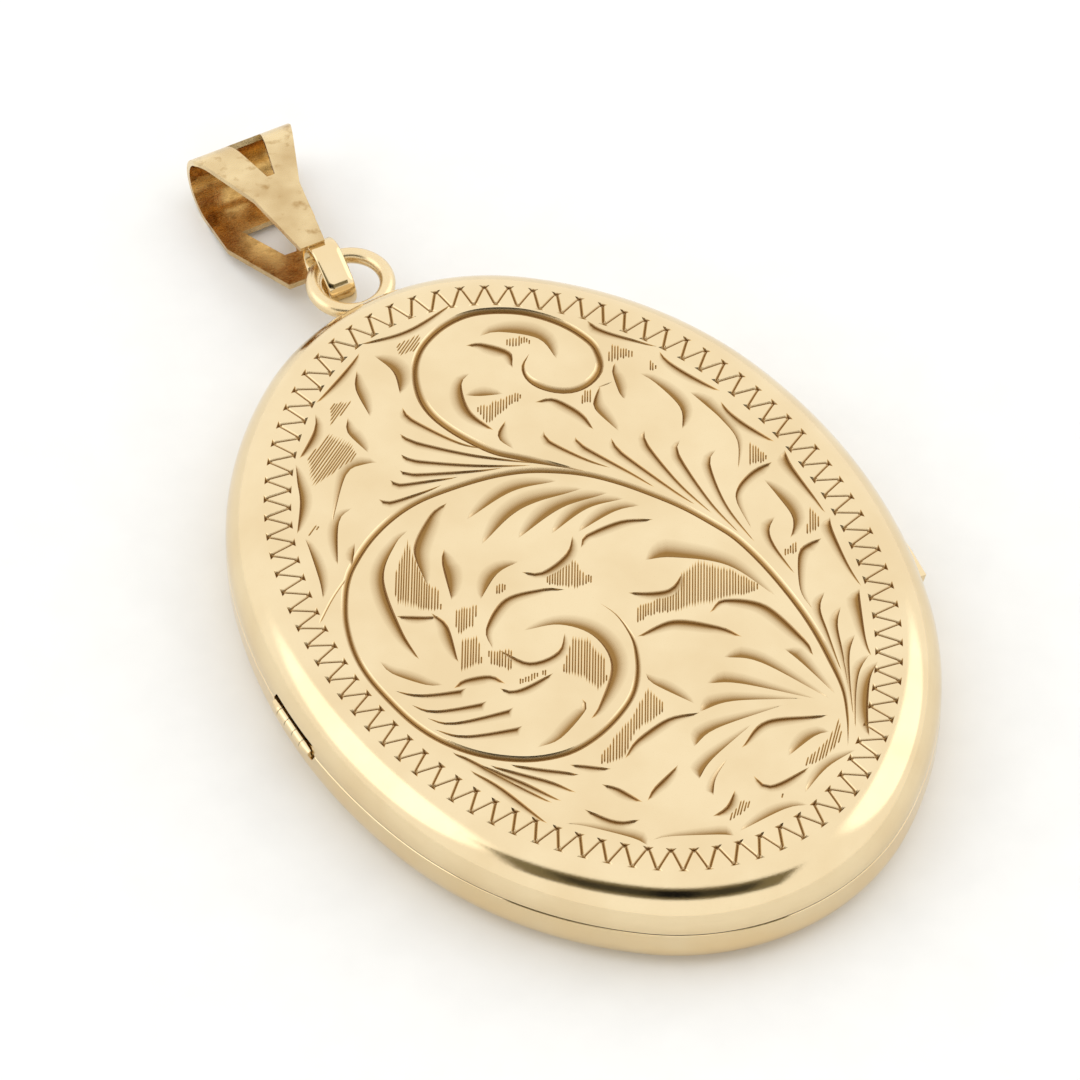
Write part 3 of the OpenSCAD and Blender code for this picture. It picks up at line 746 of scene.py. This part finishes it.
def ribbon_stations():
    """Stations along the ribbon, with a close pair at each square end of an opening."""
    slope = (BEND_CENTRE + polar(UPPER_TURN, BEND_R) - UPPER_START).x / STRAIGHT
    first = (LAP_START - UPPER_START.x) / slope
    lower = (BEND_CENTRE + polar(LOWER_TURN, BEND_R) - LOWER_START).x / STRAIGHT
    last = RIBBON_LENGTH - (LAP_START - LOWER_START.x) / lower
    stations = list(np.arange(first, last, STATION_STEP)) + [last]
    apex = (OPENING_START - UPPER_START.x) / slope
    bend_radius = BEND_R - RIBBON / 2
    crest = math.asin((OPENING_END - BEND_CENTRE.y) / bend_radius)
    hole_ends = [FAR_HOLE_HEIGHT - FAR_HOLE_R, FAR_HOLE_HEIGHT + FAR_HOLE_R]
    hole_turns = [math.asin((height - BEND_CENTRE.y) / bend_radius) for height in hole_ends]
    ends = [apex] + [STRAIGHT + (UPPER_TURN - turn) * bend_radius for turn in [crest] + hole_turns]
    ends += [RIBBON_LENGTH - (reach - LOWER_START.x) / lower
             for reach in (LOWER_OPENING_START, LOWER_OPENING_END)]
    for end in ends:
        stations += [end - STATION_PAIR, end + STATION_PAIR]
    return sorted(stations)


def soften(piece, width, degrees=40):
    """Rounds the sharp edges of a piece a little. width is in millimetres."""
    bevel = piece.modifiers.new("soft_edges", "BEVEL")
    bevel.width = width * MM
    bevel.segments = 3
    bevel.limit_method = "ANGLE"
    bevel.angle_limit = math.radians(degrees)


def make_ribbon(material, inner_shade_material):
    """The bent ribbon of the bail. Each station has a row of points either side of its opening."""
    columns = 6
    row = 2 * (columns + 1)
    stations = ribbon_stations()
    outer, inner, index, places = [], [], [], {}
    for s in stations:
        left, hole_left, hole_right, right = ribbon_edges(s)
        halves = [np.linspace(left, hole_left, columns + 1), np.linspace(hole_right, right, columns + 1)]
        for x in np.concatenate(halves):
            key = (round(s, 4), round(float(x), 4))
            if key not in places:
                places[key] = len(outer)
                for layer, sunk in ((outer, 0), (inner, RIBBON)):
                    reach, height = ribbon_point(s, sunk)
                    grow = max(1, LOOP_R / math.hypot(reach, height))
                    layer.append(in_bail @ Vector((x, reach * grow, height * grow)))
            index.append(places[key])
    count = len(outer)
    sheet = []
    for i in range(len(stations) - 1):
        for j in range(row - 1):
            a, b = index[i * row + j], index[(i + 1) * row + j]
            c, d = index[(i + 1) * row + j + 1], index[i * row + j + 1]
            face = tuple(dict.fromkeys((a, b, c, d)))
            if j != columns and len(face) > 2:
                sheet.append(face)
    sides = {(p, q) for face in sheet for p, q in zip(face, face[1:] + face[:1])}
    faces = [face[::-1] for face in sheet]
    faces += [tuple(count + v for v in face) for face in sheet]
    faces += [(p, q, q + count, p + count) for p, q in sides if (q, p) not in sides]
    piece = new_piece("bail_ribbon", outer + inner, faces, material, "bail", "polished_gold", "bail_body")
    # The inner faces take the second material, which paints the shade inside the bend.
    piece.data.materials.append(inner_shade_material)
    for face in piece.data.polygons[len(sheet):2 * len(sheet)]:
        face.material_index = 1
    shade(piece, degrees=40)
    soften(piece, width=0.05)
    return piece


def make_loop(material):
    """The small closed band that hangs on the jump ring, its edges rounded."""
    edge = 0.06
    half = LOOP_WIDTH / 2 - LOOP_TRIM
    inner = LOOP_R - LOOP_BAND
    section = [(-half, inner + edge), (-half, LOOP_R - edge), (-half + edge, LOOP_R), (-half / 2, LOOP_R),
               (half / 2, LOOP_R), (half - edge, LOOP_R), (half, LOOP_R - edge), (half, inner + edge),
               (half - edge, inner), (-half + edge, inner)]
    start = math.radians(LOOP_TURN)
    far = polar(start, LOOP_STRETCH)
    bends = 40
    stations = [(start - math.pi / 2 + math.pi * i / bends, far) for i in range(bends + 1)]
    stations += [(start + math.pi / 2 + math.pi * i / bends, Vector((0, 0))) for i in range(bends + 1)]
    vertices = []
    for turn, centre in stations:
        for x, r in section:
            p = centre + polar(turn, r)
            vertices.append(in_bail @ Vector((x, p.x, p.y)))
    faces = [face[::-1] for face in tube_faces(len(stations), len(section))]
    piece = new_piece("bail_loop_band", vertices, faces, material, "bail", "polished_gold", "bail_loop")
    shade(piece, degrees=50)
    return piece


# --------------------------------------------------------------- materials
def node(tree, kind, **settings):
    """A new node. Settings are its properties, or its sockets where a name has a capital."""
    made = tree.nodes.new(kind)
    for name, value in settings.items():
        if name[0].isupper():
            made.inputs[name.replace("_", " ")].default_value = value
        else:
            setattr(made, name, value)
    return made


def ramp(tree, source, low, high, start, end):
    """Maps a source between two places onto a range of values."""
    made = node(tree, "ShaderNodeMapRange", From_Min=start, From_Max=end, To_Min=low, To_Max=high)
    tree.links.new(source, made.inputs["Value"])
    return made.outputs["Result"]


def blend_colour(tree, share, first, second):
    """Mixes two colours, each a value or a socket."""
    made = node(tree, "ShaderNodeMix", data_type="RGBA")
    tree.links.new(share, made.inputs["Factor"])
    for socket, colour in ((made.inputs[6], first), (made.inputs[7], second)):
        if isinstance(colour, tuple):
            socket.default_value = colour + (1,)
        else:
            tree.links.new(colour, socket)
    return made.outputs[2]


def noise(tree, scale, stretch=(1, 1, 1), detail=3):
    """Noise over the object. scale is in features per metre."""
    place = node(tree, "ShaderNodeTexCoord")
    mapping = node(tree, "ShaderNodeMapping", Scale=stretch, Rotation=(0, 0, 0.6))
    made = node(tree, "ShaderNodeTexNoise", Scale=scale, Detail=detail)
    tree.links.new(place.outputs["Object"], mapping.inputs["Vector"])
    tree.links.new(mapping.outputs["Vector"], made.inputs["Vector"])
    return made.outputs["Fac"]


def new_material(name, **settings):
    material = bpy.data.materials.new(name)
    material.use_nodes = True
    tree = material.node_tree
    shader = tree.nodes["Principled BSDF"]
    for key, value in settings.items():
        shader.inputs[key.replace("_", " ")].default_value = value
    return material, tree, shader


def add_bump(tree, shader, source, distance, strength=1.0):
    bump = node(tree, "ShaderNodeBump", Distance=distance, Strength=strength)
    tree.links.new(source, bump.inputs["Height"])
    tree.links.new(bump.outputs["Normal"], shader.inputs["Normal"])


def gold_metal(name, light, dark, smooth, rough, dent, grain=5000, wear=None):
    """Gold whose colour and gloss vary gently, from smooth to rough. dent is the depth of its surface
    dents in metres, grain their number per metre, and wear the noise values where dark spots start
    and are full."""
    material, tree, shader = new_material(name, Metallic=1.0)
    cloud = ramp(tree, noise(tree, 350), 0, 1, 0.35, 0.65)
    colour = blend_colour(tree, cloud, light, tuple(0.5 * (a + b) for a, b in zip(light, dark)))
    fine = noise(tree, grain, (1, 9, 1))
    if wear:
        spots = ramp(tree, noise(tree, 1500, detail=6), 0, 1, *wear)
        colour = blend_colour(tree, spots, colour, dark)
    tree.links.new(colour, shader.inputs["Base Color"])
    tree.links.new(ramp(tree, fine, smooth, rough, 0.3, 0.7), shader.inputs["Roughness"])
    add_bump(tree, shader, noise(tree, grain / 3, detail=5), dent)
    return material


PALE_GOLD = (0.79, 0.645, 0.41)
CLOUDED_GOLD = (0.74, 0.585, 0.355)
MARKED_GOLD = (0.70, 0.535, 0.31)
WORN_GOLD = (0.78, 0.62, 0.36)
MID_GOLD = (0.76, 0.56, 0.29)
# Painted shade: the orange of the gold inside the bail's bend.
SHADED_ORANGE_GOLD = (0.80, 0.52, 0.19)
DEEP_GOLD = (0.34, 0.18, 0.045)
# Painted shade: the brown that the deepest engraved cuts are coloured.
CUT_SHADE_BROWN = (0.30, 0.165, 0.05)


def engraved_gold():
    """Polished gold. The engraved cuts are darker and rougher the deeper they go; their darker colour is
    painted shade.
    """
    material, tree, shader = new_material("engraved_gold", Metallic=1.0)
    depth = node(tree, "ShaderNodeAttribute", attribute_name="cut_depth").outputs["Fac"]
    cloud = ramp(tree, noise(tree, 260), 0, 1, 0.35, 0.65)
    face = blend_colour(tree, cloud, PALE_GOLD, CLOUDED_GOLD)
    marks = ramp(tree, noise(tree, 9000, (1, 12, 1)), 0, 1, 0.62, 0.75)
    face = blend_colour(tree, marks, face, MARKED_GOLD)
    # Painted shade: the deeper the cut, the nearer its colour comes to the shade brown.
    shadow = ramp(tree, depth, 0, 1, 0.0, 0.7)
    colour = blend_colour(tree, shadow, face, CUT_SHADE_BROWN)
    tree.links.new(colour, shader.inputs["Base Color"])
    polish = ramp(tree, depth, 0.09, 0.42, 0.0, 0.6)
    tree.links.new(polish, shader.inputs["Roughness"])
    add_bump(tree, shader, noise(tree, 6000, (1, 14, 1)), distance=1.2e-6)
    return material


engraved = engraved_gold()
polished = gold_metal("polished_gold", PALE_GOLD, MID_GOLD, smooth=0.05, rough=0.13, dent=6e-7)
ring_gold = gold_metal("brushed_ring_gold", PALE_GOLD, MID_GOLD, smooth=0.18, rough=0.34,
                       dent=6e-6, grain=9000)
worn = gold_metal("worn_bail_gold", WORN_GOLD, DEEP_GOLD, smooth=0.16, rough=0.34,
                  dent=1.2e-5, grain=7000, wear=(0.58, 0.8))
# Painted shade: the ribbon's inner faces take this orange and dark brown gold, for the shade inside the bend.
shaded_inner_bail = gold_metal("shaded_inner_bail_gold", SHADED_ORANGE_GOLD, DEEP_GOLD, smooth=0.16, rough=0.36,
                       dent=1e-5, wear=(0.5, 0.75))
inner_gold = gold_metal("inner_gold", MID_GOLD, DEEP_GOLD, smooth=0.2, rough=0.4, dent=4e-6)
solder = gold_metal("solder_gold", MID_GOLD, DEEP_GOLD, smooth=0.3, rough=0.5,
                    dent=1e-5, grain=4000, wear=(0.5, 0.7))


def window_plastic():
    material, tree, shader = new_material("clear_window", Base_Color=(0.95, 0.98, 1, 1), Alpha=0.16, IOR=1.49)
    scratches = ramp(tree, noise(tree, 3000, (1, 10, 1)), 0.02, 0.08, 0.4, 0.7)
    tree.links.new(scratches, shader.inputs["Roughness"])
    return material


def blank_card():
    material, tree, shader = new_material("blank_card", Roughness=0.8)
    fibres = ramp(tree, noise(tree, 4000, (1, 4, 1), 8), 0, 1, 0.3, 0.7)
    colour = blend_colour(tree, fibres, (0.86, 0.83, 0.74), (0.78, 0.74, 0.64))
    tree.links.new(colour, shader.inputs["Base Color"])
    add_bump(tree, shader, noise(tree, 8000, detail=6), distance=1e-5)
    return material


make_cover(engraved)
make_back(polished)
make_ring(ring_gold)
make_ribbon(worn, shaded_inner_bail)
make_loop(polished)

# The CAD's own pieces stay in the visual model, where their names start like this.
CAD_MATERIALS = {
    "hinge_": polished, "thumb_": polished, "ring_seat": solder, "back_bezel": inner_gold,
    "front_seat_rim": inner_gold, "back_photo_frame": polished, "front_photo_frame": polished,
    "back_window": window_plastic(), "front_window": window_plastic(),
    "back_picture_card": blank_card(), "front_picture_card": blank_card(),
}
for name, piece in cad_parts.items():
    for start, material in CAD_MATERIALS.items():
        if name.startswith(start):
            piece.data.materials.clear()
            piece.data.materials.append(material)


# ------------------------------------------------------------------- stage
def stage_sheet(name, width, depth, location, colour, facing=None):
    """A flat sheet of the studio, lying level or facing a point."""
    x, y = width / 2, depth / 2
    corners = [(-x, -y, 0), (x, -y, 0), (x, y, 0), (-x, y, 0)]
    mesh = bpy.data.meshes.new(name)
    mesh.from_pydata(corners, [], [(0, 1, 2, 3)])
    sheet = bpy.data.objects.new(name, mesh)
    bpy.context.scene.collection.objects.link(sheet)
    sheet.location = location
    if facing:
        sheet.rotation_euler = (Vector(facing) - Vector(location)).to_track_quat("Z", "Y").to_euler()
    material, tree, shader = new_material(name, Roughness=0.9, Specular_IOR_Level=0.1)
    paper = ramp(tree, noise(tree, 400, detail=6), 0, 1, 0.3, 0.7)
    shade_of = blend_colour(tree, paper, colour, tuple(0.97 * c for c in colour))
    tree.links.new(shade_of, shader.inputs["Base Color"])
    mesh.materials.append(material)


LOOK_AT = Vector((0, 0, 0.0024))
VIEW_BACK = Vector((-0.3084, -0.5512, 0.7753))
CAMERA_DISTANCE = 0.4
camera_data = bpy.data.cameras.new("camera")
camera_data.sensor_width = 36
camera_data.lens = 294.3
camera_data.shift_x = -0.0381
camera_data.shift_y = 0.0581
camera_data.clip_start = 0.01
camera = bpy.data.objects.new("camera", camera_data)
camera.location = LOOK_AT + VIEW_BACK * CAMERA_DISTANCE
camera.rotation_euler = (-VIEW_BACK).to_track_quat("-Z", "Y").to_euler()
bpy.context.scene.collection.objects.link(camera)
bpy.context.scene.camera = camera

stage_sheet("floor", 3, 3, (0, 0, 0), (0.93, 0.93, 0.92))
# Behind the camera, nested dark sheets stand for the photographer, for the shoulder to mirror.
for name, width, depth, distance, colour in (("dark_band", 1.15, 0.36, 0.75, (0.2, 0.175, 0.11)),
                                             ("dark_core", 0.7, 0.18, 0.73, (0.05, 0.045, 0.03)),
                                             ("lens_spot", 0.16, 0.2, 0.71, (0.004, 0.004, 0.004))):
    stage_sheet(name, width, depth, LOOK_AT + VIEW_BACK * distance, colour, LOOK_AT)

bpy.context.scene.view_settings.view_transform = "Standard"
world = bpy.data.worlds.new("studio")
world.use_nodes = True
world.node_tree.nodes["Background"].inputs["Color"].default_value = (1, 0.995, 0.98, 1)
world.node_tree.nodes["Background"].inputs["Strength"].default_value = 1.2
bpy.context.scene.world = world


def soft_light(name, location):
    """A wide round lamp that faces the locket. Size and place are in metres, energy in watts."""
    data = bpy.data.lights.new(name, "AREA")
    data.shape = "DISK"
    data.size = 0.9
    data.energy = 1.2
    lamp = bpy.data.objects.new(name, data)
    lamp.location = location
    lamp.rotation_euler = (LOOK_AT - Vector(location)).to_track_quat("-Z", "Y").to_euler()
    bpy.context.scene.collection.objects.link(lamp)


soft_light("key_light", (-0.8, 0.35, 0.6))
soft_light("side_light", (0.9, -0.1, 0.6))
